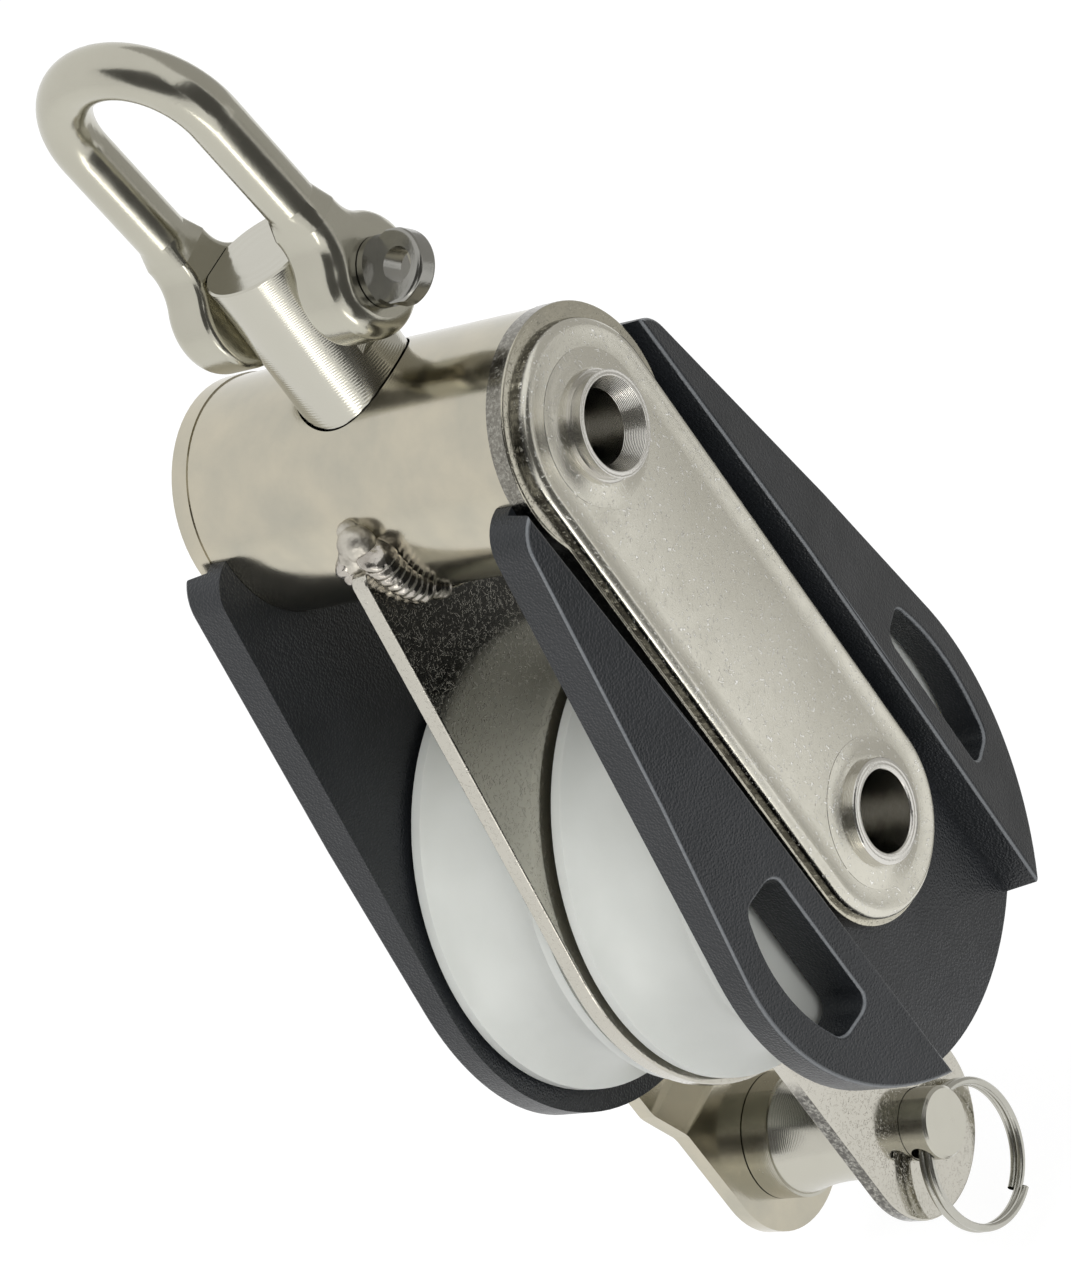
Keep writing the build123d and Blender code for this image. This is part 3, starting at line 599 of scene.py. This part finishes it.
# split ring: two turns of round wire through the cross hole of the clevis pin
ringSettings = {
    "turn": 13.0, "lift": 5.0, "holeY": -0.0037, "pinHeight": -0.0687, "reach": 0.01121,
    "radius": 0.0120, "wire": 0.00135, "pitch": 0.00142, "turns": 2, "segments": 96,
    "wireSegments": 20, "mergeDistance": 0.00001, "smoothAngle": 50,
}
crossWay = Vector((cos(radians(ringSettings["turn"])), 0, sin(radians(ringSettings["turn"]))))
hang = Vector((crossWay.z, 0, -crossWay.x)) * cos(radians(ringSettings["lift"]))
hang -= Vector((0, sin(radians(ringSettings["lift"])), 0))
ringNormal = crossWay.cross(hang)
bpy.ops.object.select_all(action="DESELECT")
bpy.ops.mesh.primitive_circle_add(vertices=ringSettings["wireSegments"], radius=ringSettings["wire"] / 2,
                                  location=(ringSettings["radius"], 0, 0), rotation=(radians(90), 0, 0),
                                  fill_type="NGON")
splitRing = bpy.context.object
splitRing.name = "splitRingWire"
bpy.ops.object.transform_apply(location=True, rotation=True, scale=True)
applyModifier(splitRing, "SCREW", angle=radians(360), screw_offset=ringSettings["pitch"],
              iterations=ringSettings["turns"], steps=ringSettings["segments"],
              render_steps=ringSettings["segments"], use_merge_vertices=False)
mendNormals(ringSettings["mergeDistance"])
ringCentre = Vector((0, ringSettings["holeY"], ringSettings["pinHeight"])) + hang * ringSettings["reach"]
ringCentre -= ringNormal * (ringSettings["pitch"] * ringSettings["turns"] / 2)
ringAxes = Matrix((hang, ringNormal.cross(hang), ringNormal)).transposed()
splitRing.matrix_world = Matrix.Translation(ringCentre) @ ringAxes.to_4x4()
selectOnly(splitRing)
bpy.ops.object.transform_apply(location=True, rotation=True, scale=True)
bpy.ops.object.shade_smooth_by_angle(angle=radians(ringSettings["smoothAngle"]))
setFinish(splitRing, wireSteel)
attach(splitRing, "split_ring")
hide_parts("split_ring")
print("split ring modelled")


# floor and light
studioSettings = {
    "floorHeight": -0.1, "floorSize": 6.0, "floorColor": 0.86, "floorGlow": 0.875, "floorTint": 0.24,
    "worldDiffuse": 0.46, "white": (1, 1, 1, 1), "roughness": 0.9,
    "cardColor": (0.01, 0.01, 0.01, 1), "cardLight": (1.0, 0.985, 0.95, 1),
    "aim": (0, 0, 0.03),
}
studioCards = (     # name, place, size, turn in degrees, brightness
    ("stripCard", (-0.50, -0.115, -0.095), (0.58, 0.075), (0, 0, 0), 4.0),
    ("highCard", (-0.753, -0.202, 0.56), (1.0, 0.86), (60, 0, -75), 0.10),
    ("wallCard", (-0.157, -0.682, 0.20), (0.85, 0.60), (90, 0, -13), 0.10),
    ("wallFloorCard", (-0.107, -0.463, -0.094), (0.50, 0.45), (0, 0, -13), 0.10),
    ("sideCard", (0.725, -0.338, 0.48), (1.5, 1.15), (90, 0, 65), 0.50),
    ("sideFloorCard", (0.47, -0.33, -0.093), (0.75, 0.32), (0, 0, 55), 0.45),
    ("strapCard", (0.131, -0.052, -0.020), (0.16, 0.26), (60.1, 0, -135.5), 0.52),
)
studioLamps = (     # name, place, size, power
    ("keyLight", (-0.5, -0.2, 1.6), (0.9, 0.9), 12),
    ("frontLight", (-0.7, -1.3, 0.7), (0.8, 0.8), 7),
)


def newGlowing(name, light):
    material, tree, shader = newMaterial(name)
    shader.inputs["Roughness"].default_value = studioSettings["roughness"]
    shader.inputs["Specular IOR Level"].default_value = 0.0
    shader.inputs["Emission Color"].default_value = light
    return material, shader


# 1 where the camera sees a surface, directly, in the metal or through something
def addSeen(tree):
    rays = tree.nodes.new("ShaderNodeLightPath")
    value = rays.outputs["Is Camera Ray"]
    for other in ("Is Glossy Ray", "Is Transmission Ray"):
        value = addMath(tree, "MAXIMUM", value, rays.outputs[other])
    return value


def addCard(name, place, size, turn, level):
    bpy.ops.object.select_all(action="DESELECT")
    bpy.ops.mesh.primitive_plane_add(size=1, location=place, rotation=[radians(angle) for angle in turn])
    card = bpy.context.object
    card.name = name
    card.scale = (size[0], size[1], 1)
    finish, shader = newGlowing(name + "Finish", studioSettings["cardLight"])
    shader.inputs["Base Color"].default_value = studioSettings["cardColor"]
    shader.inputs["Emission Strength"].default_value = level
    card.data.materials.append(finish)
    card.visible_camera = False       # only the metal sees it
    card.visible_diffuse = False
    card.visible_shadow = False


def addSoftbox(name, place, size, power):
    data = bpy.data.lights.new(name, "AREA")
    data.shape = "RECTANGLE"
    data.size, data.size_y = size
    data.energy = power
    lamp = bpy.data.objects.new(name, data)
    lamp.location = place
    aim = Vector(studioSettings["aim"]) - Vector(place)
    lamp.rotation_euler = aim.to_track_quat("-Z", "Y").to_euler()
    lamp.visible_glossy = False       # the cards give the reflections
    bpy.context.scene.collection.objects.link(lamp)


bpy.ops.object.select_all(action="DESELECT")
bpy.ops.mesh.primitive_plane_add(size=studioSettings["floorSize"],
                                 location=(0, 0, studioSettings["floorHeight"]))
floor = bpy.context.object
floor.name = "floor"
# seen directly or in the metal, the floor is white apart from the object's shadow
floorMaterial, floorShader = newGlowing("floorWhite", studioSettings["white"])
floorTree = floorMaterial.node_tree
floorSeen = addSeen(floorTree)
tint = addRange(floorTree, floorSeen, studioSettings["floorColor"], studioSettings["floorTint"])
glow = addRange(floorTree, floorSeen, 0.0, studioSettings["floorGlow"])
floorTree.links.new(tint, floorShader.inputs["Base Color"])
floorTree.links.new(glow, floorShader.inputs["Emission Strength"])
floor.data.materials.append(floorMaterial)

world = bpy.data.worlds.new("studio")
bpy.context.scene.world = world
world.use_nodes = True
worldTree = world.node_tree
background = worldTree.nodes["Background"]
background.inputs["Color"].default_value = studioSettings["white"]
strength = addRange(worldTree, addSeen(worldTree), studioSettings["worldDiffuse"], 1.0)
worldTree.links.new(strength, background.inputs["Strength"])

# dark and bright cards round the block give the metal its reflections
for card in studioCards:
    addCard(*card)
for lamp in studioLamps:
    addSoftbox(*lamp)
print("floor and light set")
